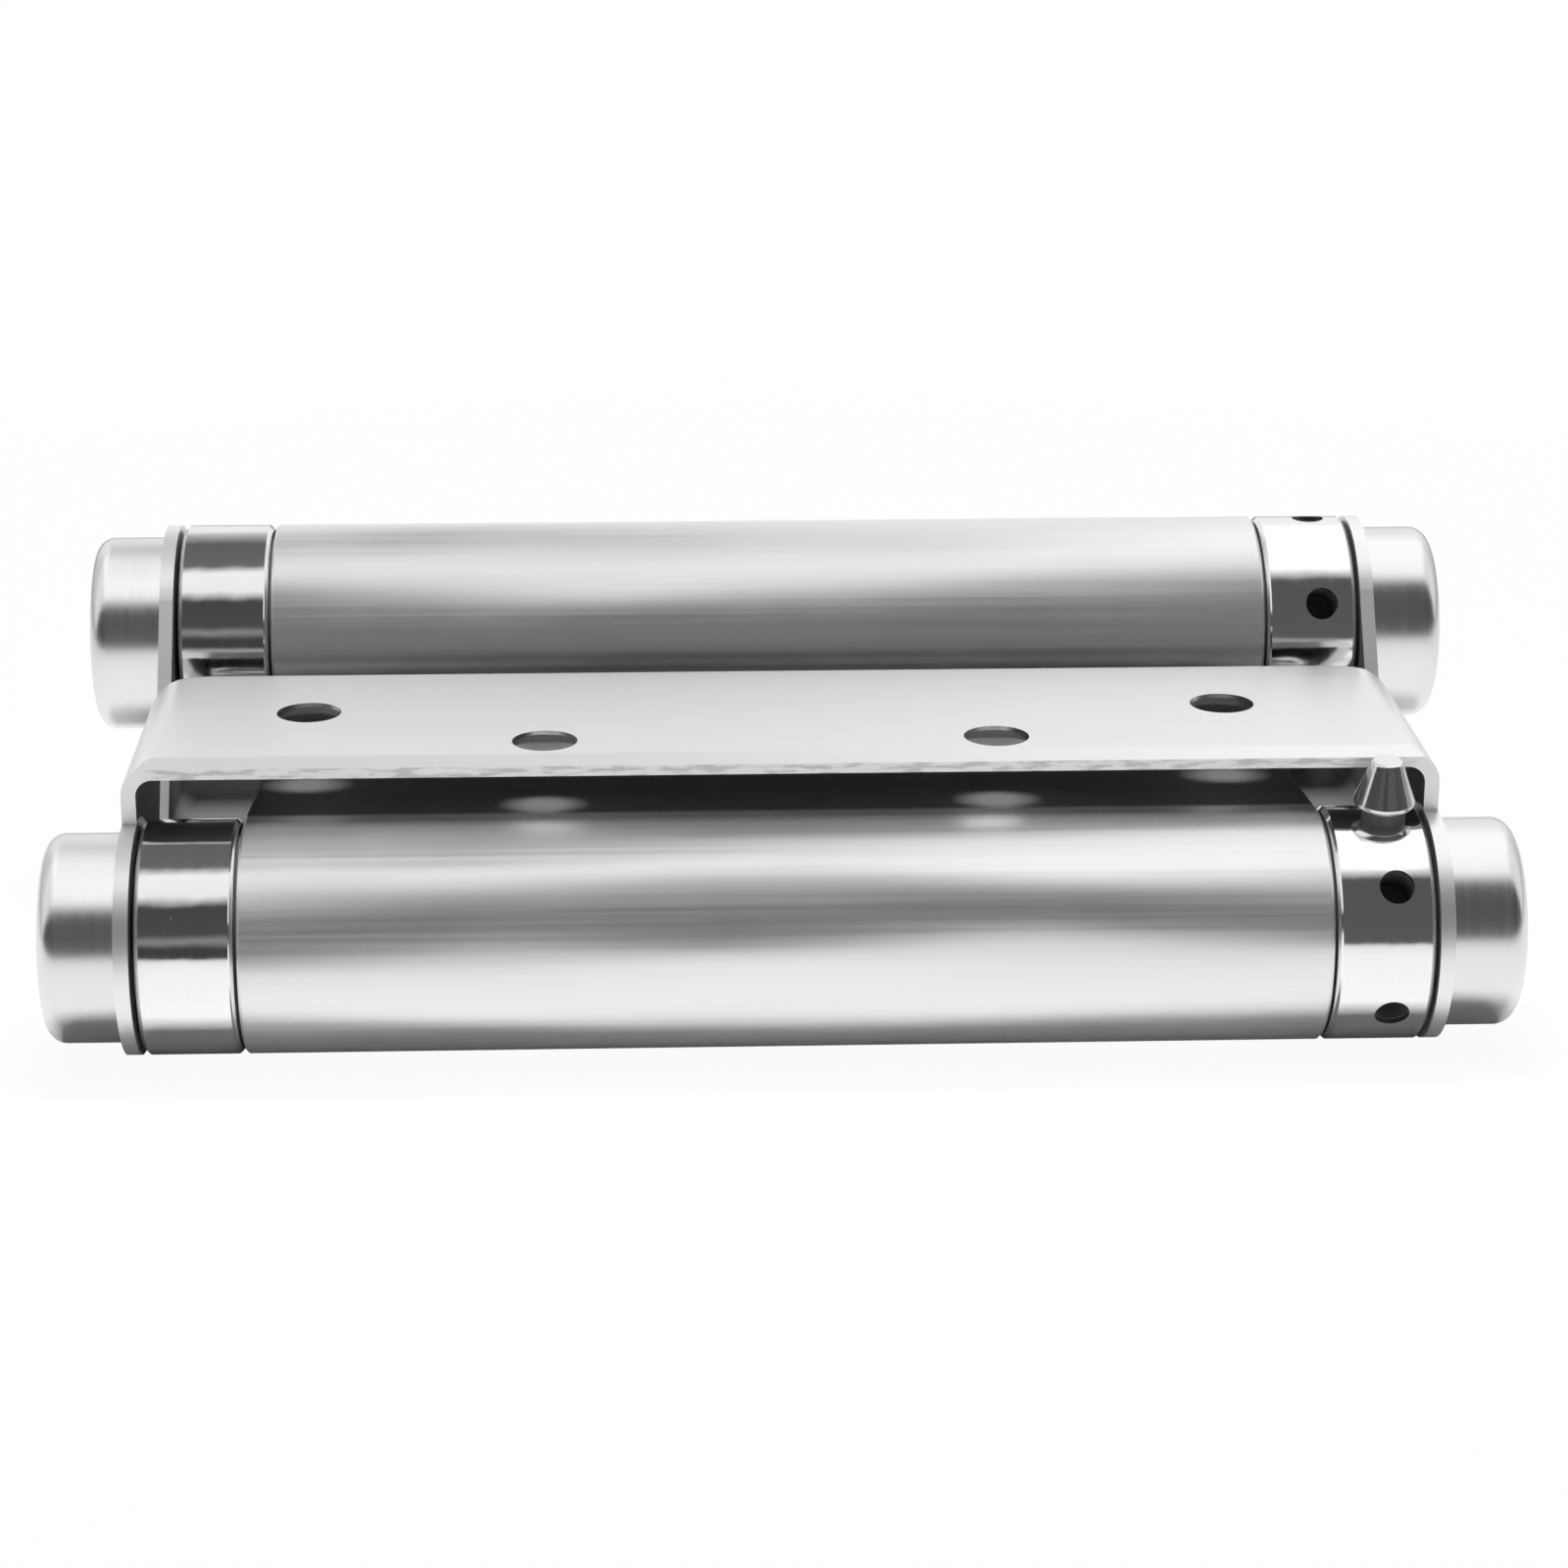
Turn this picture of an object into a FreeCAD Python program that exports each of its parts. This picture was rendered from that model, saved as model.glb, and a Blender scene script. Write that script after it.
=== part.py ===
import FreeCAD, Part
import math
import os

# Double action cafe hinge, closed. Two plate leaves face each other with an
# S-shaped rolled web between them. Each end of the web is rolled into a
# barrel, and each leaf is hung on one barrel by its folded ears.
# Millimetres. X runs along the barrels, Z is square to the leaves, and the
# origin is midway between the two barrel axes. The frame side is drawn with
# its own barrel axis at Y = Z = 0, then moved to its place; the door side is
# the same set turned half a turn about X.

# Overall layout
LEAF_HEIGHT = 125.0
AXIS_STEP_Z = 16.5
LEAF_TO_BARREL = 6.4

# Barrels and web
BARREL_RADIUS = 11.2
WEB_WALL = 1.2
SEAM_GAP = 0.3
WEB_EDGE_BREAK = 0.25

# Leaves
LEAF_WALL = 1.4
LEAF_CLEARANCE = 4.4
LEAF_FRONT = 0.2
LEAF_WIDTH = 28.7
BEND_RADIUS = 1.6
LEAF_CORNER = 6.0
EAR_SHOULDER_DROP = 2.6
ROLLOVER_DROP = 0.4
ROLLOVER_RUN = 2.6

# Screw holes of a leaf
HOLE_RADIUS = 3.15
HOLE_LAND = 0.4
OUTER_HOLE_PITCH = 89.8
OUTER_HOLE_SETBACK = 16.3
INNER_HOLE_PITCH = 43.4
INNER_HOLE_SETBACK = 6.6
HOLE_SHIFT = -1.0

# Collars at the two ends of a barrel
COLLAR_LENGTH = 9.2
COLLAR_SEAM = 0.35
COLLAR_CHAMFER = 0.4
SPIGOT_LENGTH = 6.0
TOMMY_HOLE_RADIUS = 1.65
TOMMY_HOLE_DEPTH = 4.6
TOMMY_HOLE_COUNT = 5
TOMMY_HOLE_STEP = 68.0
TOMMY_HOLE_INSET = 3.6
FRAME_TOMMY_ANGLE = 37.5
DOOR_TOMMY_ANGLE = 118.0

# Tension pin that rests on the leaf's front edge
PIN_ANGLE = 82.5
PIN_INSET = 3.8
PIN_SHANK_RADIUS = 1.6
PIN_SHANK_DEPTH = 4.4
PIN_NECK_RADIUS = 2.1
PIN_NECK_HEIGHT = 1.3
PIN_BASE_RADIUS = 2.9
PIN_BASE_RIM = 0.35
PIN_TOP_RADIUS = 1.45
PIN_HEIGHT = 6.0
PIN_TIP_ROUND = 0.25

# Spindle, washers and end caps
SPINDLE_RADIUS = 4.0
RUNNING_GAP = 0.1
WASHER_THICKNESS = 0.4
WASHER_STEP = 2.2
CAP_STEP = 1.2
CAP_THICKNESS = 7.4
CAP_EDGE_ROUND = 1.8
SPINDLE_ENTRY = 4.0

# Torsion spring inside a barrel
SPRING_CLEARANCE = 1.6
SPRING_WIRE_RADIUS = 1.2
SPRING_TURNS = 5
SPRING_END_GAP = 0.5
TANG_DEPTH = 3.0

# Places that follow from the sizes above
HALF_HEIGHT = LEAF_HEIGHT / 2
EAR_INNER = HALF_HEIGHT - LEAF_WALL
COLLAR_END = EAR_INNER - WASHER_THICKNESS
COLLAR_START = COLLAR_END - COLLAR_LENGTH
WEB_HALF = COLLAR_START - COLLAR_SEAM
WEB_LENGTH = 2 * WEB_HALF
SPIGOT_END = COLLAR_START - SPIGOT_LENGTH
TUBE_BORE = BARREL_RADIUS - WEB_WALL
WEB_MID_RADIUS = BARREL_RADIUS - WEB_WALL / 2
SPRING_RADIUS = TUBE_BORE - SPRING_CLEARANCE - SPRING_WIRE_RADIUS
CAP_RADIUS = BARREL_RADIUS - CAP_STEP
WASHER_RADIUS = BARREL_RADIUS - WASHER_STEP
LEAF_TOP = BARREL_RADIUS + LEAF_CLEARANCE + LEAF_WALL
LEAF_REAR = LEAF_FRONT + LEAF_WIDTH
AXIS_STEP_Y = LEAF_REAR + LEAF_TO_BARREL + BARREL_RADIUS
LEAF_UNDER = LEAF_TOP - LEAF_WALL
AXIS_GAP = math.hypot(AXIS_STEP_Y, AXIS_STEP_Z)
AXIS_SLOPE = math.atan2(AXIS_STEP_Z, AXIS_STEP_Y)

X_AXIS = FreeCAD.Vector(1, 0, 0)
Y_AXIS = FreeCAD.Vector(0, 1, 0)
Z_AXIS = FreeCAD.Vector(0, 0, 1)
ORIGIN = FreeCAD.Vector(0, 0, 0)


def side_point(y, z, x=0.0):
    """Point of the side view, at X = x."""
    return FreeCAD.Vector(x, y, z)


def polar(radius, angle):
    """Side-view Y and Z of a point at this radius and angle from +Y."""
    return radius * math.cos(angle), radius * math.sin(angle)


def bar_x(start, end, radius):
    """Round bar along X between two stations."""
    return Part.makeCylinder(radius, end - start, side_point(0, 0, start), X_AXIS)


def prism(points, direction):
    """Solid made by sweeping a closed polygon along a vector."""
    outline = Part.makePolygon(points + points[:1])
    return Part.Face(outline).extrude(direction)


def edges_where(shape, test):
    """Edges whose centre passes a test."""
    return [edge for edge in shape.Edges if test(edge.CenterOfMass)]


def drawn_profile(points, roundings):
    """Closed side outline, each corner rounded by its own radius."""
    count = len(points)
    pieces = []
    stops = []
    for index in range(count):
        corner = points[index]
        before = points[index - 1] - corner
        after = points[(index + 1) % count] - corner
        radius = roundings[index]
        if radius <= 0:
            stops.append((corner, corner))
            continue
        half = before.getAngle(after) / 2
        reach = radius / math.tan(half)
        start = corner + before * (reach / before.Length)
        end = corner + after * (reach / after.Length)
        inward = before * (1 / before.Length) + after * (1 / after.Length)
        inward.normalize()
        middle = corner + inward * (radius / math.sin(half) - radius)
        pieces.append(Part.Arc(start, middle, end).toShape())
        stops.append((start, end))
    for index in range(count):
        start = stops[index][1]
        end = stops[(index + 1) % count][0]
        if (end - start).Length > 1e-6:
            pieces.append(Part.makeLine(start, end))
    return Part.Face(Part.Wire(Part.__sortEdges__(pieces)))


def make_ear_outline():
    """Side view of a leaf: plate edge above, ear lobe round the barrel axis."""
    shoulder_y = LEAF_REAR - LEAF_CORNER
    shoulder_z = LEAF_TOP - EAR_SHOULDER_DROP
    reach = math.hypot(shoulder_y, shoulder_z)
    tangent = math.atan2(shoulder_z, shoulder_y) - math.acos(BARREL_RADIUS / reach)
    tangent_y, tangent_z = polar(BARREL_RADIUS, tangent)
    front_z = math.sqrt(BARREL_RADIUS ** 2 - LEAF_FRONT ** 2)
    front = side_point(LEAF_FRONT, front_z)
    low_y, low_z = polar(BARREL_RADIUS, math.pi + tangent / 2)
    lobe = Part.Arc(front, side_point(low_y, low_z), side_point(tangent_y, tangent_z))
    corners = [
        side_point(tangent_y, tangent_z),
        side_point(shoulder_y, shoulder_z),
        side_point(LEAF_REAR, LEAF_UNDER),
        side_point(LEAF_REAR, LEAF_TOP),
        side_point(LEAF_FRONT + ROLLOVER_RUN, LEAF_TOP),
        side_point(LEAF_FRONT, LEAF_TOP - ROLLOVER_DROP),
        front,
    ]
    lines = [Part.makeLine(corners[i], corners[i + 1]) for i in range(len(corners) - 1)]
    return Part.Face(Part.Wire(lines + [lobe.toShape()]))


def make_leaf():
    """Plate leaf with its two folded ears, screw holes and spindle holes."""
    outer_bend = BEND_RADIUS + LEAF_WALL
    low = -BARREL_RADIUS
    depth = LEAF_REAR - low
    outer = drawn_profile(
        [
            FreeCAD.Vector(-HALF_HEIGHT, low, low),
            FreeCAD.Vector(-HALF_HEIGHT, low, LEAF_TOP),
            FreeCAD.Vector(HALF_HEIGHT, low, LEAF_TOP),
            FreeCAD.Vector(HALF_HEIGHT, low, low),
        ],
        [0, outer_bend, outer_bend, 0],
    ).extrude(Y_AXIS * depth)
    inner = drawn_profile(
        [
            FreeCAD.Vector(-EAR_INNER, low, low - LEAF_WALL),
            FreeCAD.Vector(-EAR_INNER, low, LEAF_UNDER),
            FreeCAD.Vector(EAR_INNER, low, LEAF_UNDER),
            FreeCAD.Vector(EAR_INNER, low, low - LEAF_WALL),
        ],
        [0, BEND_RADIUS, BEND_RADIUS, 0],
    ).extrude(Y_AXIS * depth)
    channel = outer.cut(inner)

    side = make_ear_outline()
    side.translate(X_AXIS * -HALF_HEIGHT)
    side_solid = side.extrude(X_AXIS * LEAF_HEIGHT)

    plan = drawn_profile(
        [
            FreeCAD.Vector(-HALF_HEIGHT, low, low),
            FreeCAD.Vector(-HALF_HEIGHT, LEAF_REAR, low),
            FreeCAD.Vector(HALF_HEIGHT, LEAF_REAR, low),
            FreeCAD.Vector(HALF_HEIGHT, low, low),
        ],
        [0, LEAF_CORNER, LEAF_CORNER, 0],
    ).extrude(Z_AXIS * (LEAF_TOP - low))
    leaf = channel.common(side_solid).common(plan)

    cutters = [bar_x(-HALF_HEIGHT, HALF_HEIGHT, SPINDLE_RADIUS)]
    sink_depth = LEAF_WALL - HOLE_LAND
    for pitch, setback in (
        (OUTER_HOLE_PITCH, OUTER_HOLE_SETBACK),
        (INNER_HOLE_PITCH, INNER_HOLE_SETBACK),
    ):
        for side_sign in (-1, 1):
            x = HOLE_SHIFT + side_sign * pitch / 2
            y = LEAF_FRONT + setback
            base = FreeCAD.Vector(x, y, LEAF_UNDER)
            cutters.append(Part.makeCylinder(HOLE_RADIUS, LEAF_WALL, base, Z_AXIS))
            cutters.append(
                Part.makeCone(HOLE_RADIUS + sink_depth, HOLE_RADIUS, sink_depth, base, Z_AXIS)
            )
    return leaf.cut(Part.Compound(cutters)).removeSplitter()


def make_web():
    """S-shaped sheet: two rolled barrels joined by the flat between them."""
    reach = 2 * WEB_MID_RADIUS
    slope = AXIS_SLOPE - math.asin(reach / AXIS_GAP)
    upright = slope + math.pi / 2
    flat_length = math.sqrt(AXIS_GAP ** 2 - reach ** 2)
    lip_angle = math.acos((TUBE_BORE - SEAM_GAP) / BARREL_RADIUS)

    def roll():
        ring = bar_x(-WEB_HALF, WEB_HALF, BARREL_RADIUS)
        ring = ring.cut(bar_x(-WEB_HALF, WEB_HALF, TUBE_BORE))
        far = 2 * BARREL_RADIUS
        fan = [side_point(0, 0, -WEB_HALF)]
        for angle in (upright, upright - lip_angle):
            y, z = polar(far, angle)
            fan.append(side_point(y, z, -WEB_HALF))
        return ring.cut(prism(fan, X_AXIS * WEB_LENGTH))

    near_roll = roll()
    far_roll = roll()
    far_roll.rotate(ORIGIN, X_AXIS, 180)
    far_roll.translate(side_point(AXIS_STEP_Y, AXIS_STEP_Z))
    along = side_point(*polar(1.0, slope))
    up = side_point(*polar(1.0, upright))
    start = up * TUBE_BORE + X_AXIS * -WEB_HALF
    strip = [
        start,
        start + up * WEB_WALL,
        start + up * WEB_WALL + along * flat_length,
        start + along * flat_length,
    ]
    flat = prism(strip, X_AXIS * WEB_LENGTH)
    web = near_roll.fuse([flat, far_roll]).removeSplitter()
    rims = [
        edge
        for edge in web.Edges
        if abs(abs(edge.CenterOfMass.x) - WEB_HALF) < 1e-6
        and abs(edge.BoundBox.XLength) < 1e-6
        and edge.Curve.TypeId == "Part::GeomCircle"
        and abs(edge.Curve.Radius - BARREL_RADIUS) < 1e-6
    ]
    return web.makeChamfer(WEB_EDGE_BREAK, rims)


def make_collar(bore, spigot_radius, end):
    """Polished ring with a spigot that enters the barrel, on the +X side."""
    body = bar_x(COLLAR_START, end, BARREL_RADIUS)
    rims = edges_where(body, lambda c: abs(c.y) < 1e-6 and abs(c.z) < 1e-6)
    body = body.makeChamfer(COLLAR_CHAMFER, rims)
    spigot = bar_x(SPIGOT_END, COLLAR_START, spigot_radius)
    return body.fuse(spigot).cut(bar_x(SPIGOT_END, end, bore)).removeSplitter()


def make_winding_collar(first_angle):
    """Collar that winds the spring, with its tommy holes and pin hole."""
    collar = make_collar(SPINDLE_RADIUS, TUBE_BORE - RUNNING_GAP, COLLAR_END)
    x = COLLAR_END - TOMMY_HOLE_INSET
    bores = []
    for index in range(TOMMY_HOLE_COUNT):
        angle = math.pi - math.radians(first_angle - index * TOMMY_HOLE_STEP)
        bores.append(radial_bore(x, angle, TOMMY_HOLE_RADIUS, TOMMY_HOLE_DEPTH))
    pin_x = COLLAR_END - PIN_INSET
    pin_angle = math.pi - math.radians(PIN_ANGLE)
    bores.append(radial_bore(pin_x, pin_angle, PIN_SHANK_RADIUS, PIN_SHANK_DEPTH))
    return collar.cut(Part.Compound(bores))


def radial_bore(x, angle, radius, depth):
    """Blind bore from the rim of a barrel toward its axis."""
    y, z = polar(1.0, angle)
    outward = side_point(y, z)
    base = X_AXIS * x + outward * (BARREL_RADIUS - depth)
    return Part.makeCylinder(radius, depth + WEB_WALL, base, outward)


def make_anchor_collar():
    """Collar fixed in the web's barrel, with the socket of the spring's tang."""
    end = COLLAR_END - RUNNING_GAP
    collar = make_collar(SPINDLE_RADIUS + RUNNING_GAP, TUBE_BORE, end)
    socket = Part.makeCylinder(
        SPRING_WIRE_RADIUS,
        TANG_DEPTH,
        side_point(SPRING_RADIUS, 0, SPIGOT_END),
        X_AXIS,
    )
    collar = collar.cut(socket)
    collar.rotate(ORIGIN, Z_AXIS, 180)
    return collar


def make_pin():
    """Tapered tension pin: shank in the collar, shouldered head outside."""
    start = BARREL_RADIUS - PIN_SHANK_DEPTH
    tip = BARREL_RADIUS + PIN_HEIGHT
    base = BARREL_RADIUS + PIN_NECK_HEIGHT
    seat = math.sqrt(BARREL_RADIUS ** 2 - PIN_NECK_RADIUS ** 2)
    outline = [
        FreeCAD.Vector(0, 0, start),
        FreeCAD.Vector(PIN_SHANK_RADIUS, 0, start),
        FreeCAD.Vector(PIN_SHANK_RADIUS, 0, seat),
        FreeCAD.Vector(PIN_NECK_RADIUS, 0, seat),
        FreeCAD.Vector(PIN_NECK_RADIUS, 0, base),
        FreeCAD.Vector(PIN_BASE_RADIUS, 0, base + PIN_BASE_RIM),
        FreeCAD.Vector(PIN_BASE_RADIUS, 0, base + 2 * PIN_BASE_RIM),
        FreeCAD.Vector(PIN_TOP_RADIUS, 0, tip),
        FreeCAD.Vector(0, 0, tip),
    ]
    rim_round = PIN_BASE_RIM / 2
    face = drawn_profile(outline, [0, 0, 0, 0, 0, rim_round, rim_round, PIN_TIP_ROUND, 0])
    pin = face.revolve(ORIGIN, Z_AXIS, 360)
    pin.rotate(ORIGIN, X_AXIS, 90 - PIN_ANGLE)
    pin.translate(X_AXIS * (COLLAR_END - PIN_INSET))
    return pin.cut(make_collar(SPINDLE_RADIUS, TUBE_BORE - RUNNING_GAP, COLLAR_END).cut(
        radial_bore(
            COLLAR_END - PIN_INSET,
            math.pi - math.radians(PIN_ANGLE),
            PIN_SHANK_RADIUS,
            PIN_SHANK_DEPTH,
        )
    ))


def make_spindle():
    """Spindle through the barrel and both ears into the caps."""
    end = HALF_HEIGHT + SPINDLE_ENTRY
    return bar_x(-end, end, SPINDLE_RADIUS)


def make_cap():
    """End cap outside the ear, on the +X side, blind on the spindle."""
    cap = bar_x(HALF_HEIGHT, HALF_HEIGHT + CAP_THICKNESS, CAP_RADIUS)
    face_x = HALF_HEIGHT + CAP_THICKNESS
    rim = edges_where(cap, lambda c: abs(c.x - face_x) < 1e-6)
    cap = cap.makeFillet(CAP_EDGE_ROUND, rim)
    return cap.cut(bar_x(HALF_HEIGHT, HALF_HEIGHT + SPINDLE_ENTRY, SPINDLE_RADIUS))


def make_washer():
    """Thrust washer between a collar and the ear, on the +X side."""
    ring = bar_x(COLLAR_END, EAR_INNER, WASHER_RADIUS)
    return ring.cut(bar_x(COLLAR_END, EAR_INNER, SPINDLE_RADIUS))


def make_spring():
    """Torsion spring with its tang in the anchor collar, at the -X end."""
    start = -SPIGOT_END + SPRING_WIRE_RADIUS
    end = SPIGOT_END - SPRING_WIRE_RADIUS - SPRING_END_GAP
    length = end - start
    path = Part.makeHelix(length / SPRING_TURNS, length, SPRING_RADIUS)
    section = Part.Wire(
        Part.makeCircle(SPRING_WIRE_RADIUS, FreeCAD.Vector(SPRING_RADIUS, 0, 0), Y_AXIS)
    )
    coil = Part.Wire(path).makePipeShell([section], True, True)
    coil.rotate(ORIGIN, Y_AXIS, 90)
    coil.rotate(ORIGIN, X_AXIS, -90)
    coil.translate(X_AXIS * start)
    tang_tip = side_point(-SPRING_RADIUS, 0, -SPIGOT_END - TANG_DEPTH)
    tang = Part.makeCylinder(SPRING_WIRE_RADIUS, start + SPIGOT_END + TANG_DEPTH, tang_tip, X_AXIS)
    return coil.fuse(tang)


def other_end(shape):
    """The same piece at the other end of the barrel."""
    turned = shape.copy()
    turned.rotate(ORIGIN, Z_AXIS, 180)
    return turned


def place_frame(shape):
    """Moves a frame-side piece from its own axis to its place."""
    placed = shape.copy()
    placed.translate(side_point(-AXIS_STEP_Y / 2, -AXIS_STEP_Z / 2))
    return placed


def place_door(shape):
    """Door-side twin of a frame-side piece: half a turn about X."""
    placed = place_frame(shape)
    placed.rotate(ORIGIN, X_AXIS, 180)
    return placed


def save(name, shape):
    """Writes one piece and prints its size."""
    shape.exportStep("parts/" + name + ".step")
    box = shape.BoundBox
    print(name, shape.isValid(), len(shape.Solids), round(shape.Volume, 1),
          round(box.XLength, 2), round(box.YLength, 2), round(box.ZLength, 2))


os.makedirs("parts", exist_ok=True)
save("barrel_web", place_frame(make_web()))
shared = {
    "leaf": make_leaf(),
    "spindle": make_spindle(),
    "spring": make_spring(),
    "anchor_collar": make_anchor_collar(),
    "tension_pin": make_pin(),
    "cap_right": make_cap(),
    "cap_left": other_end(make_cap()),
    "washer_right": make_washer(),
    "washer_left": other_end(make_washer()),
}
for piece, shape in shared.items():
    save("frame_" + piece, place_frame(shape))
    save("door_" + piece, place_door(shape))
save("frame_winding_collar", place_frame(make_winding_collar(FRAME_TOMMY_ANGLE)))
save("door_winding_collar", place_door(make_winding_collar(DOOR_TOMMY_ANGLE)))
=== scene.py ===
"""Double action cafe hinge in satin and polished steel, lit on a white studio table.

The closed hinge lies with its leaves level. Every rigid piece keeps the shape
of its solid; this file gives each one its finish and sets the table, the
light and the camera.
"""

import logging
import math
from dataclasses import dataclass, fields
from enum import Enum
from typing import Any, Iterable, Mapping, Optional, Sequence, Union

import bpy
from mathutils import Euler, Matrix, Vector

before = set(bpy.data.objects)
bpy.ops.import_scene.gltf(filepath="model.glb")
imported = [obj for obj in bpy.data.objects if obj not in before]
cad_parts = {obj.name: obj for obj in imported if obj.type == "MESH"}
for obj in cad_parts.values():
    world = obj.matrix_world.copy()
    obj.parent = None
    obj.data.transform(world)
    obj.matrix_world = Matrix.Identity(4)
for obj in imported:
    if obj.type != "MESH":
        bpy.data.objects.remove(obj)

LOG = logging.getLogger("cafe_hinge")
MM = 0.001

Number = Union[float, "Signal"]
Colour = tuple[float, float, float]
Span = tuple[float, float]
Bands = tuple[Span, ...]

# Barrel axes, in metres from the middle of the hinge
AXIS_Y = 23.25 * MM
AXIS_Z = 8.25 * MM

# Distances from a barrel axis between which one surface gives way to the next
BORE_EDGE: Span = (10.2 * MM, 10.5 * MM)
COLLAR_INSIDE: Span = (10.55 * MM, 10.75 * MM)
BARREL_OUTSIDE: Span = (11.24 * MM, 11.5 * MM)
BEYOND_BARREL: Span = (11.3 * MM, 11.6 * MM)
PIN_NECK: Span = (12.45 * MM, 12.7 * MM)

# Distances from the middle of the hinge, along the barrels
BESIDE_EARS: Span = (49.0 * MM, 53.0 * MM)
EDGE_END: Span = (59.0 * MM, 61.0 * MM)
PLATE_END: Span = (60.0 * MM, 60.8 * MM)

# Parts of a surface normal between which a face counts as turned that way
FACES_INWARD: Span = (0.3, 0.7)
FACES_BARRELS: Span = (-0.8, -0.5)
FACES_ALONG_Y: Span = (0.9, 0.97)

# Grain: part of the fine lines in it, its part in the tone, and its strength
FINE_SHARE = 0.6
GRAIN_SHARE = 0.7
GRAIN_STRENGTH = 0.6
NOISE_REACH: Span = (0.3, 0.7)

# Clouds: number in a metre, steps of detail, and part of the streaks' change of roughness
CLOUD_SCALE = 55.0
CLOUD_DETAIL = 3.0
CLOUD_ROUGHNESS = 0.4

# Pits: number in a metre, their patches, their rims and what they change
PIT_SCALE = 900.0
PATCH_SCALE = 130.0
PIT_RIM: Span = (0.10, 0.22)
PATCH_EDGE: Span = (0.62, 0.70)
PIT_DARKENING = 0.8
PIT_ROUGHNESS = 0.2
PIT_DEPTH = 4.0

# Sheared edges: flecks in a metre along X, Y and Z, their detail and what they change
TEAR_SCALE = (350.0, 300.0, 2200.0)
TEAR_DETAIL = 4.0
TEAR_HEIGHT = 70.0
TEAR_GLOSS = 0.1
TEAR_ROUGHNESS = 0.3
CHIPPED_FROM: Span = (0.47, 0.62)
ROUGH_SIDE = 0.25


def grey(level: float) -> Colour:
    """Neutral colour of a level."""
    return (level, level, level)


# Colour of the sheared edge; dark colours and roughness of the painted shade in recesses, bores
# and gaps; shine of all non-metal surfaces
SHEARED = grey(0.3)
PAINTED_SHADE_DARK = grey(0.11)
PAINTED_SHADE_PALE = grey(0.18)
PAINTED_SHADE_ROUGHNESS = 0.55
NONMETAL_SHINE = 0.1


class Signal:
    """One shader socket that takes part in Python arithmetic."""

    def __init__(self, graph: "Graph", socket: Optional[bpy.types.NodeSocket]) -> None:
        """Keeps the graph and the socket.

        Args:
            graph: The node tree that the socket belongs to.
            socket: The output socket that carries the value, or None for a
                node without outputs.
        """
        self.graph = graph
        self.socket = socket

    def _math(self, operation: str, *values: Number) -> "Signal":
        """Adds one Math node.

        Args:
            operation: Blender's name of the operation.
            values: The operands, in the order of the node's inputs.

        Returns:
            The node's result.
        """
        inputs = dict(enumerate(values))
        return self.graph.add("ShaderNodeMath", {"operation": operation}, inputs)

    def __add__(self, other: Number) -> "Signal":
        """Sum."""
        return self._math("ADD", self, other)

    __radd__ = __add__

    def __sub__(self, other: Number) -> "Signal":
        """Difference."""
        return self._math("SUBTRACT", self, other)

    def __rsub__(self, other: Number) -> "Signal":
        """Difference, with this signal taken away."""
        return self._math("SUBTRACT", other, self)

    def __mul__(self, other: Number) -> "Signal":
        """Product."""
        return self._math("MULTIPLY", self, other)

    __rmul__ = __mul__

    def __truediv__(self, other: Number) -> "Signal":
        """Quotient."""
        return self._math("DIVIDE", self, other)

    def __gt__(self, other: Number) -> "Signal":
        """One where this signal is the larger, else zero."""
        return self._math("GREATER_THAN", self, other)

    def __abs__(self) -> "Signal":
        """Absolute value."""
        return self._math("ABSOLUTE", self)

    def __pow__(self, other: Number) -> "Signal":
        """Power."""
        return self._math("POWER", self, other)

    def sign(self) -> "Signal":
        """One where this signal is above zero, else minus one."""
        return (self > 0.0) * 2.0 - 1.0

    def clamped(self) -> "Signal":
        """Limited to the range from 0 to 1."""
        return self.graph.add(
            "ShaderNodeClamp", {}, {"Value": self, "Min": 0.0, "Max": 1.0}
        )

    def angle_from(self, other: "Signal") -> "Signal":
        """Angle, in radians, of the point at (other, this signal)."""
        return self._math("ARCTAN2", self, other)

    def ramp(self, start: float, end: float, low: float, high: float) -> "Signal":
        """Smooth step between two values.

        Args:
            start: Where the step begins on this signal.
            end: Where it ends.
            low: Result before the step.
            high: Result after it.

        Returns:
            The stepped signal.
        """
        return self.graph.add(
            "ShaderNodeMapRange",
            {"interpolation_type": "SMOOTHSTEP"},
            {"Value": self, "From Min": start, "From Max": end, "To Min": low, "To Max": high},
        )

    def above(self, span: Span) -> "Signal":
        """Smooth step from 0 to 1 over a span."""
        return self.ramp(*span, 0.0, 1.0)

    def below(self, span: Span) -> "Signal":
        """Smooth step from 1 to 0 over a span."""
        return self.ramp(*span, 1.0, 0.0)


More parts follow.
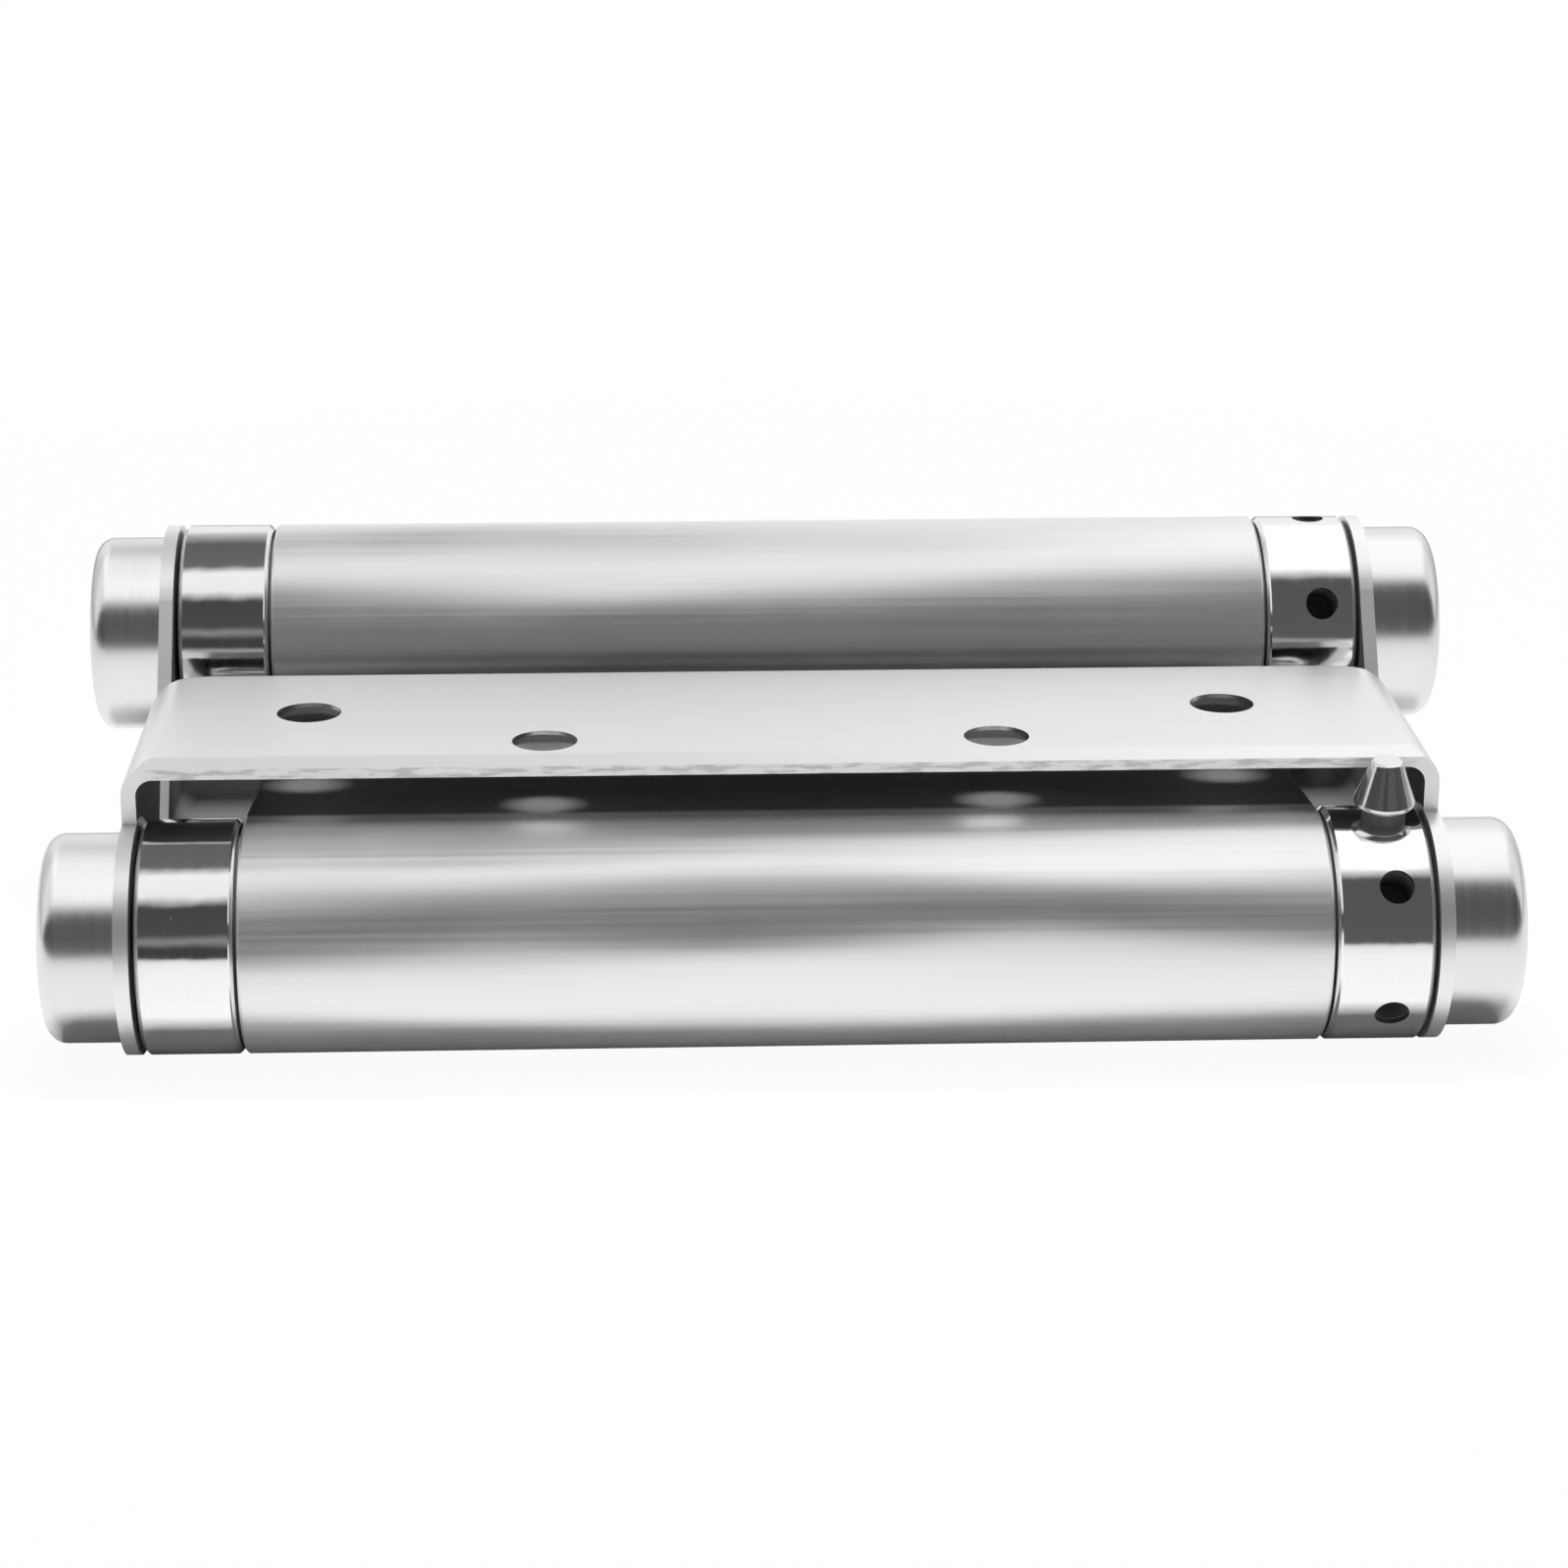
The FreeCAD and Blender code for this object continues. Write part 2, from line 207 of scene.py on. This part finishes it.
class Graph:
    """Node tree of a material or of the world, emptied and then filled."""

    def __init__(self, owner: Union[bpy.types.Material, bpy.types.World]) -> None:
        """Empties the owner's node tree.

        Args:
            owner: The material or world to fill.
        """
        owner.use_nodes = True
        self.tree = owner.node_tree
        self.tree.nodes.clear()

    def add(
        self,
        kind: str,
        settings: Mapping[str, Any],
        inputs: Mapping[Union[str, int], Any],
        output: Union[str, int] = 0,
    ) -> Signal:
        """Adds a node of any type.

        Args:
            kind: Blender's name of the node type.
            settings: Node properties, set before the sockets. "stops" holds
                the position and grey level pairs of a colour ramp.
            inputs: Values or signals, by socket name or index.
            output: The output socket to return.

        Returns:
            The chosen output.
        """
        node = self.tree.nodes.new(kind)
        for name, value in settings.items():
            if name == "stops":
                self._set_stops(node.color_ramp, value)
            else:
                setattr(node, name, value)
        for name, value in inputs.items():
            if isinstance(value, Signal):
                self.tree.links.new(value.socket, node.inputs[name])
            else:
                node.inputs[name].default_value = value
        return Signal(self, node.outputs[output] if node.outputs else None)

    def _set_stops(self, ramp: bpy.types.ColorRamp, stops: Sequence[Span]) -> None:
        """Gives a colour ramp its grey stops.

        Args:
            ramp: The ramp to change.
            stops: Position and grey level of each stop, in order.
        """
        while len(ramp.elements) > 1:
            ramp.elements.remove(ramp.elements[-1])
        for index, (place, level) in enumerate(stops):
            stop = ramp.elements[0] if index == 0 else ramp.elements.new(place)
            stop.position = place
            stop.color = (*grey(level), 1.0)

    def place(self) -> tuple[Signal, Signal, Signal]:
        """Coordinates in metres in the hinge's own frame, which ride with each piece."""
        return self.split(self.add("ShaderNodeTexCoord", {}, {}, "Object"))

    def facing(self) -> tuple[Signal, Signal, Signal]:
        """Parts of the surface normal in the hinge's own frame."""
        return self.split(self.add("ShaderNodeTexCoord", {}, {}, "Normal"))

    def axis_radius(self) -> Signal:
        """Distance from the nearer barrel axis.

        Returns:
            The distance in metres.
        """
        _, y, z = self.place()
        across = abs(y) - AXIS_Y
        above = z * y.sign() - AXIS_Z
        return (across * across + above * above) ** 0.5

    def split(self, vector: Signal) -> tuple[Signal, Signal, Signal]:
        """The three parts of a vector."""
        first = self.add("ShaderNodeSeparateXYZ", {}, {0: vector})
        return tuple(Signal(self, part) for part in first.socket.node.outputs)

    def join(self, x: Number, y: Number, z: Number) -> Signal:
        """Vector of three values."""
        return self.add("ShaderNodeCombineXYZ", {}, {0: x, 1: y, 2: z})

    def noise(self, vector: Signal, scale: float = 1.0, detail: float = 2.0) -> Signal:
        """Cloud noise between 0 and 1."""
        return self.add(
            "ShaderNodeTexNoise", {}, {"Vector": vector, "Scale": scale, "Detail": detail}
        )

    def blend(self, factor: Number, low: Colour, high: Colour) -> Signal:
        """Mix of two colours, the first at 0 and the second at 1."""
        return self.mix(factor, (*low, 1.0), (*high, 1.0))

    def mix(
        self,
        factor: Number,
        low: Union[Signal, Sequence[float]],
        high: Union[Signal, Sequence[float]],
    ) -> Signal:
        """Mix of two colours or colour signals.

        Args:
            factor: 0 gives the first, 1 the second.
            low: The first, with its alpha if it is a plain colour.
            high: The second, in the same form.

        Returns:
            The mixed colour.
        """
        inputs = {0: factor, 6: low, 7: high}
        return self.add("ShaderNodeMix", {"data_type": "RGBA"}, inputs, 2)

    def bump(
        self,
        height: Signal,
        distance: float,
        strength: float = 1.0,
        under: Optional[Signal] = None,
    ) -> Signal:
        """Normal that follows a height.

        Args:
            height: Height from 0 to 1.
            distance: Height of the relief in metres.
            strength: Share of the effect.
            under: Normal that the relief is laid on, or None for the surface's.

        Returns:
            The normal.
        """
        inputs = {"Height": height, "Strength": strength, "Distance": distance}
        if under is not None:
            inputs["Normal"] = under
        return self.add("ShaderNodeBump", {}, inputs)

    def finish(self, shader: Signal, target: str = "ShaderNodeOutputMaterial") -> None:
        """Links a shader to the output."""
        self.add(target, {}, {"Surface": shader})


class Inner(Enum):
    """Where dark painted shade is laid on a piece, in its recesses and gaps."""

    NONE = "nowhere"
    LEAF = "inside the ears and on the rough side of the plate beside them"
    PIN = "on the neck of the pin"
    WEB = "in the bores and on the flat between the barrels"
    COLLAR = "in holes and on the hidden end faces"


class Grain(Enum):
    """Direction in which a surface was rolled, turned or brushed.

    Each value holds the lines in a metre along and across the barrels, for
    the fine lines and for the broad ones.
    """

    LENGTHWISE = ((20.0, 2600.0), (6.0, 420.0))
    ROUND = ((3000.0, 40.0), (500.0, 60.0))


@dataclass
class Layers:
    """What a finish amounts to while it is laid, layer upon layer.

    Attributes:
        height: Height of the surface's grain.
        tone: Place between the dull colour and the bright one.
        rough: Roughness.
        metal: Share of the light that is mirrored.
        colour: Colour, from when the tone is settled.
    """

    height: Signal
    tone: Signal
    rough: Signal
    metal: Number
    colour: Optional[Signal] = None


@dataclass(frozen=True)
class Steel:
    """Bare steel finish.

    Attributes:
        name: Name of the material.
        dull: Colour in the duller streaks.
        bright: Colour in the brighter streaks.
        roughness: Mean roughness.
        streak: Change of roughness between streaks.
        relief: Height of the grain in metres.
        grain: Direction of the grain.
        pits: Share of the surface that small pits take.
        cut_edge: Whether sheared edges that face along Y look torn.
        ripple: Height of the soft waves in metres.
        waves: Soft waves in a metre, along the barrels and across them.
        inner: Where dark painted shade is laid.
        crown: Slope with which the sides fall away towards the ends.
        matt: Share of the light that scatters instead of being mirrored.
    """

    name: str
    dull: Colour
    bright: Colour
    roughness: float
    streak: float
    relief: float
    grain: Grain
    pits: float = 0.0
    cut_edge: bool = False
    ripple: float = 0.0
    waves: Span = (13.0, 60.0)
    inner: Inner = Inner.NONE
    crown: float = 0.0
    matt: float = 0.0

    def skin(self, graph: Graph) -> Signal:
        """Mask of the painted shade in recesses, bores and gaps, for a finish that has some.

        Args:
            graph: The material's graph.

        Returns:
            One where shade is painted and zero elsewhere.
        """
        # Painted shade: bores, collar holes, pin neck, the flat under the leaf, ear insides and
        # the plate's rough side beside the ears turn dark
        radius = graph.axis_radius()
        if self.inner is Inner.PIN:
            return radius.below(PIN_NECK)
        if self.inner is Inner.COLLAR:
            return radius.below(COLLAR_INSIDE)
        if self.inner is Inner.WEB:
            return (radius.below(BORE_EDGE) + radius.above(BARREL_OUTSIDE)).clamped()
        x = graph.place()[0]
        inward = (graph.facing()[0] * x.ramp(-MM, MM, 1.0, -1.0)).above(FACES_INWARD)
        beside_ears = self.rough_side(graph) * abs(x).above(BESIDE_EARS)
        return inward * radius.above(BEYOND_BARREL) + beside_ears

    def rough_side(self, graph: Graph) -> Signal:
        """Mask of the rough side of a plate, which is turned to the barrels.

        Args:
            graph: The material's graph.

        Returns:
            One on that side and zero elsewhere.
        """
        x, _, z = graph.place()
        turned = (graph.facing()[2] * z.sign()).below(FACES_BARRELS)
        return turned * abs(x).below(PLATE_END)

    def streaks(self, graph: Graph) -> Signal:
        """Fine and broad lines along the grain.

        Args:
            graph: The material's graph.

        Returns:
            Value from 0 to 1.
        """
        x, y, z = graph.place()
        fine, broad = (
            graph.noise(graph.join(x * along, y * across, z * across))
            for along, across in self.grain.value
        )
        return fine * FINE_SHARE + broad * (1.0 - FINE_SHARE)

    def grained(self, graph: Graph) -> Layers:
        """Lays the grain and its cloudy tone.

        Args:
            graph: The material's graph.

        Returns:
            The layers so far.
        """
        height = self.streaks(graph)
        cloud = graph.noise(graph.join(*graph.place()), CLOUD_SCALE, CLOUD_DETAIL)
        cloudy = CLOUD_ROUGHNESS * self.streak
        smooth, dull = self.roughness - self.streak, self.roughness + self.streak
        return Layers(
            height=height,
            tone=height * GRAIN_SHARE + cloud * (1.0 - GRAIN_SHARE),
            rough=height.ramp(*NOISE_REACH, smooth, dull)
            + cloud.ramp(*NOISE_REACH, -cloudy, cloudy),
            metal=1.0 - self.matt,
        )

    def pit(self, graph: Graph, layers: Layers) -> None:
        """Takes small pits, which come in patches, out of the surface.

        Args:
            graph: The material's graph.
            layers: The layers so far.
        """
        place = graph.join(*graph.place())
        spots = graph.add(
            "ShaderNodeTexVoronoi",
            {"feature": "F1"},
            {"Vector": place, "Scale": PIT_SCALE, "Randomness": 1.0},
            "Distance",
        )
        start, end = PATCH_EDGE
        patch = graph.noise(place, PATCH_SCALE).above((start - self.pits, end - self.pits))
        pitted = spots.below(PIT_RIM) * patch
        layers.tone = layers.tone - pitted * PIT_DARKENING
        layers.rough = layers.rough + pitted * PIT_ROUGHNESS
        layers.height = layers.height - pitted * PIT_DEPTH

    def tear(self, graph: Graph, layers: Layers) -> None:
        """Tears the sheared edges and roughens the rough side of the plate.

        Args:
            graph: The material's graph.
            layers: The layers so far, with their colour.
        """
        x, y, z = graph.place()
        torn = abs(graph.facing()[1]).above(FACES_ALONG_Y) * abs(x).below(EDGE_END)
        along, across, deep = TEAR_SCALE
        flecks = graph.noise(graph.join(x * along, y * across, z * deep), detail=TEAR_DETAIL)
        gloss = torn * (TEAR_GLOSS - flecks * TEAR_ROUGHNESS)
        layers.rough = layers.rough - gloss + self.rough_side(graph) * ROUGH_SIDE
        layers.height = layers.height + torn * flecks * TEAR_HEIGHT
        chips = graph.blend(flecks, SHEARED, self.bright)
        layers.colour = graph.mix(torn * flecks.above(CHIPPED_FROM), layers.colour, chips)

    def paint_shade(self, graph: Graph, layers: Layers) -> None:
        """Paints dark shade, matt and not metal, on the recessed and hidden surfaces.

        Args:
            graph: The material's graph.
            layers: The layers so far, with their colour.
        """
        skin = self.skin(graph)
        layers.metal = (1.0 - skin) * layers.metal
        layers.rough = layers.rough * (1.0 - skin) + skin * PAINTED_SHADE_ROUGHNESS
        # Dark painted shade colour in place of the metal's
        shade_colour = graph.blend(layers.tone, PAINTED_SHADE_DARK, PAINTED_SHADE_PALE)
        layers.colour = graph.mix(skin, layers.colour, shade_colour)

    def normal(self, graph: Graph, height: Signal) -> Signal:
        """Grain and, where the finish has them, a crown or long soft waves.

        Args:
            graph: The material's graph.
            height: Height of the grain from 0 to 1.

        Returns:
            The shading normal.
        """
        x, y, z = graph.place()
        grain = graph.bump(height, self.relief, GRAIN_STRENGTH)
        if self.crown > 0:
            return graph.bump(abs(x) * -self.crown, 1.0, under=grain)
        if self.ripple <= 0:
            return grain
        along, across = self.waves
        waves = graph.noise(graph.join(x * along, y * across, z * across), detail=1.0)
        return graph.bump(waves, self.ripple, under=grain)

    def build(self) -> bpy.types.Material:
        """Makes the material.

        Returns:
            The finished material.
        """
        material = bpy.data.materials.new(self.name)
        graph = Graph(material)
        layers = self.grained(graph)
        if self.pits > 0:
            self.pit(graph, layers)
        layers.tone = layers.tone.clamped()
        layers.colour = graph.blend(layers.tone, self.dull, self.bright)
        if self.cut_edge:
            self.tear(graph, layers)
        # Dark painted shade in recesses, bores and gaps
        if self.inner is not Inner.NONE:
            self.paint_shade(graph, layers)
        shader = graph.add(
            "ShaderNodeBsdfPrincipled",
            {},
            {
                "Base Color": layers.colour,
                "Metallic": layers.metal,
                "Roughness": layers.rough,
                "Specular IOR Level": NONMETAL_SHINE,
                "Normal": self.normal(graph, layers.height),
            },
        )
        graph.finish(shader)
        return material


@dataclass(frozen=True)
class Finishes:
    """The finishes of the hinge, by the kind of piece that wears them."""

    sheet: Steel = Steel(
        name="satin_leaf_steel",
        dull=grey(0.9),
        bright=grey(0.96),
        roughness=0.38,
        streak=0.02,
        relief=0.0003 * MM,
        grain=Grain.LENGTHWISE,
        cut_edge=True,
        inner=Inner.LEAF,
        matt=0.12,
    )
    barrel: Steel = Steel(
        name="satin_barrel_steel",
        dull=grey(0.82),
        bright=grey(0.96),
        roughness=0.36,
        streak=0.06,
        relief=0.0018 * MM,
        grain=Grain.LENGTHWISE,
        ripple=2.6 * MM,
        inner=Inner.WEB,
        matt=0.1,
    )
    polished: Steel = Steel(
        name="polished_collar_steel",
        dull=(0.88, 0.88, 0.875),
        bright=(0.96, 0.96, 0.955),
        roughness=0.085,
        streak=0.02,
        relief=0.0003 * MM,
        grain=Grain.ROUND,
        pits=0.03,
        ripple=0.03 * MM,
        waves=(350.0, 350.0),
        inner=Inner.COLLAR,
    )
    cap: Steel = Steel(
        name="fine_satin_cap_steel",
        dull=grey(0.79),
        bright=grey(0.85),
        roughness=0.24,
        streak=0.03,
        relief=0.0003 * MM,
        grain=Grain.ROUND,
        crown=0.15,
    )
    pin: Steel = Steel(
        name="polished_pin_steel",
        dull=(0.75, 0.75, 0.74),
        bright=(0.86, 0.86, 0.85),
        roughness=0.12,
        streak=0.02,
        relief=0.0003 * MM,
        grain=Grain.ROUND,
        inner=Inner.PIN,
    )
    # Near black painted shade: the spindle and washers sit in the gaps between ears and collars
    plain: Steel = Steel(
        name="painted_shade_turned_steel",
        dull=grey(0.03),
        bright=grey(0.06),
        roughness=0.5,
        streak=0.08,
        relief=0.002 * MM,
        grain=Grain.ROUND,
    )
    wire: Steel = Steel(
        name="drawn_spring_wire",
        dull=(0.2, 0.2, 0.21),
        bright=(0.36, 0.36, 0.37),
        roughness=0.38,
        streak=0.06,
        relief=0.003 * MM,
        grain=Grain.LENGTHWISE,
    )

    def build(self) -> dict[str, bpy.types.Material]:
        """Makes all materials, by the kind of piece."""
        return {item.name: getattr(self, item.name).build() for item in fields(self)}


def dress(nodes: Iterable[str], material: bpy.types.Material) -> None:
    """Gives solids their material.

    Args:
        nodes: Names of the solids.
        material: The material for all of them.
    """
    for name in nodes:
        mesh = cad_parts[name].data
        mesh.materials.clear()
        mesh.materials.append(material)
        LOG.info("%s wears %s", name, material.name)


@dataclass
class HingeSide:
    """One leaf with all that is locked to it.

    Attributes:
        prefix: First word of the names of its solids.
        leaf: The plate with its folded ears.
        collar: Collar that winds the spring.
        pin: Pin that holds the collar against the leaf.
        caps: Turned ends outside the ears.
        hidden: Spindle and washers in the gaps.
    """

    prefix: str
    leaf: str = "leaf"
    collar: str = "winding_collar"
    pin: str = "tension_pin"
    caps: tuple[str, ...] = ("cap_left", "cap_right")
    hidden: tuple[str, ...] = ("spindle", "washer_left", "washer_right")

    def names(self, pieces: Iterable[str]) -> list[str]:
        """Full names of this side's solids."""
        return [f"{self.prefix}_{piece}" for piece in pieces]

    def build(self, materials: Mapping[str, bpy.types.Material]) -> None:
        """Dresses this side.

        Args:
            materials: The hinge's materials by kind.
        """
        dress(self.names([self.leaf]), materials["sheet"])
        dress(self.names([self.collar]), materials["polished"])
        dress(self.names([self.pin]), materials["pin"])
        dress(self.names(self.caps), materials["cap"])
        # Spindle and washers wear near black painted shade
        dress(self.names(self.hidden), materials["plain"])


@dataclass
class BarrelWeb:
    """The rolled web with its anchor collars and springs.

    Attributes:
        sheet: The S-shaped sheet.
        collars: Collars fixed in the barrels.
        springs: Torsion springs inside the barrels.
    """

    sheet: tuple[str, ...] = ("barrel_web",)
    collars: tuple[str, ...] = ("frame_anchor_collar", "door_anchor_collar")
    springs: tuple[str, ...] = ("frame_spring", "door_spring")

    def build(self, materials: Mapping[str, bpy.types.Material]) -> None:
        """Dresses the web.

        Args:
            materials: The hinge's materials by kind.
        """
        dress(self.sheet, materials["barrel"])
        dress(self.collars, materials["polished"])
        dress(self.springs, materials["wire"])


@dataclass
class Table:
    """White table that the hinge lies on.

    Seen directly it is almost clear and shows the white world behind, so that
    a leaf that swings down past it stays in view. In reflections it is paper.

    Attributes:
        height: Level of the table in metres.
        half_width: Half of its width in metres.
        tint: Its colour.
        shadow: Share of the real shading that stays in view near the hinge.
        fading: Distances in metres between which that share fades out.
    """

    height: float = -19.7 * MM
    half_width: float = 3.0
    tint: Colour = grey(0.75)
    shadow: float = 0.05
    fading: Span = (0.12, 0.35)

    def material(self) -> bpy.types.Material:
        """Makes the paper that is clear to the camera.

        Returns:
            The material.
        """
        material = bpy.data.materials.new("white_table")
        graph = Graph(material)
        paper = graph.add("ShaderNodeBsdfDiffuse", {}, {"Color": (*self.tint, 1.0)})
        clear = graph.add("ShaderNodeBsdfTransparent", {}, {})
        ray = graph.add("ShaderNodeLightPath", {}, {}, "Is Camera Ray")
        x, y, _ = graph.place()
        kept = ((x * x + y * y) ** 0.5).ramp(*self.fading, self.shadow, 0.0)
        share = ray * (1.0 - kept)
        graph.finish(graph.add("ShaderNodeMixShader", {}, {0: share, 1: paper, 2: clear}))
        return material

    def build(self) -> bpy.types.Object:
        """Makes the table.

        Returns:
            The table's object.
        """
        mesh = bpy.data.meshes.new("table")
        far = self.half_width
        outline = [(-far, -far), (far, -far), (far, far), (-far, far)]
        mesh.from_pydata([(*corner, self.height) for corner in outline], [], [(0, 1, 2, 3)])
        mesh.materials.append(self.material())
        table = bpy.data.objects.new("table", mesh)
        bpy.context.scene.collection.objects.link(table)
        return table


@dataclass
class Studio:
    """Soft light all round, given by direction.

    Attributes:
        left: Angle in degrees from the viewer's side over the top, and the
            grey level there, towards the left.
        right: The same towards the right.
        middle: Part of the direction to the right over which the right bands
            take over from the left ones.
        left_end: The same far to the left, where they take over again.
        slant: Turn of the high bands towards each side, in degrees.
        slant_over: Part of the direction to the right over which it turns.
        slant_above: Angles in degrees between which that turn sets in.
        far_sides: Share of the level that is left far out to the sides.
        sideways: Part of the direction to a side over which it falls to that.
        plain: Level that diffuse surfaces receive.
        key_power: Power of the overhead lamp in watts.
        key_size: Length and width of the lamp in metres.
        key_height: Its height in metres.
    """

    left: Bands = (
        (-180.0, 0.9), (-4.0, 0.9), (0.0, 0.05), (9.0, 0.05), (16.0, 0.26), (23.0, 0.07),
        (55.0, 0.06), (66.0, 0.9), (88.0, 0.95), (97.0, 0.14), (132.0, 0.12), (149.0, 0.45),
        (161.0, 0.88), (180.0, 0.9),
    )
    right: Bands = (
        (-180.0, 0.9), (-4.0, 0.9), (0.0, 0.1), (55.0, 0.09), (69.0, 1.18), (126.0, 1.22),
        (145.0, 0.94), (180.0, 0.86),
    )
    middle: Span = (-0.06, 0.15)
    left_end: Span = (-0.32, -0.2)
    slant: float = 8.0
    slant_over: Span = (-0.2, 0.2)
    slant_above: Span = (10.0, 50.0)
    far_sides: float = 0.72
    sideways: Span = (0.5, 0.65)
    plain: float = 0.12
    key_power: float = 4.8
    key_size: Span = (0.28, 0.2)
    key_height: float = 0.6

    def level(self, graph: Graph, angle: Signal, bands: Bands) -> Signal:
        """Grey level of a set of bands.

        Args:
            graph: The world's graph.
            angle: Angle over the top in degrees.
            bands: Angle and level of each stop.

        Returns:
            The level at that angle.
        """
        stops = [((degrees + 180.0) / 360.0, level) for degrees, level in bands]
        return graph.add(
            "ShaderNodeValToRGB", {"stops": stops}, {0: (angle + 180.0) / 360.0}
        )

    def shaped(self, graph: Graph) -> Signal:
        """Light of the bands, as metal mirrors it.

        Args:
            graph: The world's graph.

        Returns:
            The background shader.
        """
        x, y, z = graph.split(graph.add("ShaderNodeTexCoord", {}, {}, "Generated"))
        angle = z.angle_from(y * -1.0) * (180.0 / math.pi)
        turn = x.ramp(*self.slant_over, -1.0, 1.0)
        angle = angle - turn * angle.ramp(*self.slant_above, 0.0, self.slant)
        level = graph.mix(
            x.above(self.middle) + x.below(self.left_end),
            self.level(graph, angle, self.left),
            self.level(graph, angle, self.right),
        )
        dimming = abs(x).ramp(*self.sideways, 1.0, self.far_sides)
        return graph.add("ShaderNodeBackground", {}, {"Color": level * dimming, "Strength": 1.0})

    def set_world(self) -> None:
        """Sets the bands for metal, an even level for the rest and a white background."""
        world = bpy.data.worlds.new("studio")
        bpy.context.scene.world = world
        graph = Graph(world)
        even, white = (
            graph.add("ShaderNodeBackground", {}, {"Color": (*grey(1.0), 1.0), "Strength": level})
            for level in (self.plain, 1.0)
        )
        glossy = graph.add("ShaderNodeLightPath", {}, {}, "Is Glossy Ray")
        camera = graph.add("ShaderNodeLightPath", {}, {}, "Is Camera Ray")
        lit = graph.add("ShaderNodeMixShader", {}, {0: glossy, 1: even, 2: self.shaped(graph)})
        backed = graph.add("ShaderNodeMixShader", {}, {0: camera, 1: lit, 2: white})
        graph.finish(backed, "ShaderNodeOutputWorld")

    def hang_lamp(self) -> None:
        """Hangs the overhead lamp, which metal does not mirror."""
        lamp = bpy.data.lights.new("overhead_softbox", "AREA")
        lamp.shape = "RECTANGLE"
        lamp.size, lamp.size_y = self.key_size
        lamp.energy = self.key_power
        softbox = bpy.data.objects.new("overhead_softbox", lamp)
        softbox.location = (0.0, 0.0, self.key_height)
        softbox.visible_glossy = False
        bpy.context.scene.collection.objects.link(softbox)

    def build(self) -> None:
        """Sets the world and the lamp."""
        self.set_world()
        self.hang_lamp()


@dataclass
class Viewpoint:
    """Camera of the product view.

    Attributes:
        place: Camera position in millimetres.
        turn: Camera rotation in degrees.
        lens: Focal length in millimetres.
        frame_width: Width of the picture frame in millimetres.
        clipping: Nearest and farthest distance in view, in metres.
    """

    place: tuple[float, float, float] = (-14.5, -374.276, 124.72)
    turn: tuple[float, float, float] = (71.3859, -0.114, -2.3215)
    lens: float = 90.0
    frame_width: float = 36.0
    clipping: Span = (0.01, 50.0)

    def build(self) -> bpy.types.Object:
        """Makes the camera and makes it the scene's own.

        Returns:
            The camera's object.
        """
        data = bpy.data.cameras.new("viewpoint")
        data.sensor_fit = "HORIZONTAL"
        data.sensor_width = self.frame_width
        data.lens = self.lens
        data.clip_start, data.clip_end = self.clipping
        camera = bpy.data.objects.new("viewpoint", data)
        camera.location = Vector(self.place) * MM
        camera.rotation_euler = Euler([math.radians(a) for a in self.turn], "XYZ")
        bpy.context.scene.collection.objects.link(camera)
        bpy.context.scene.camera = camera
        return camera


def main() -> None:
    """Builds the scene in order."""
    logging.basicConfig(level=logging.INFO)
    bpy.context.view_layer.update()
    bpy.context.scene.view_settings.view_transform = "Standard"
    materials = Finishes().build()
    for side in (HingeSide("frame"), HingeSide("door")):
        side.build(materials)
    BarrelWeb().build(materials)
    Table().build()
    Studio().build()
    Viewpoint().build()


if __name__ == "__main__":
    main()
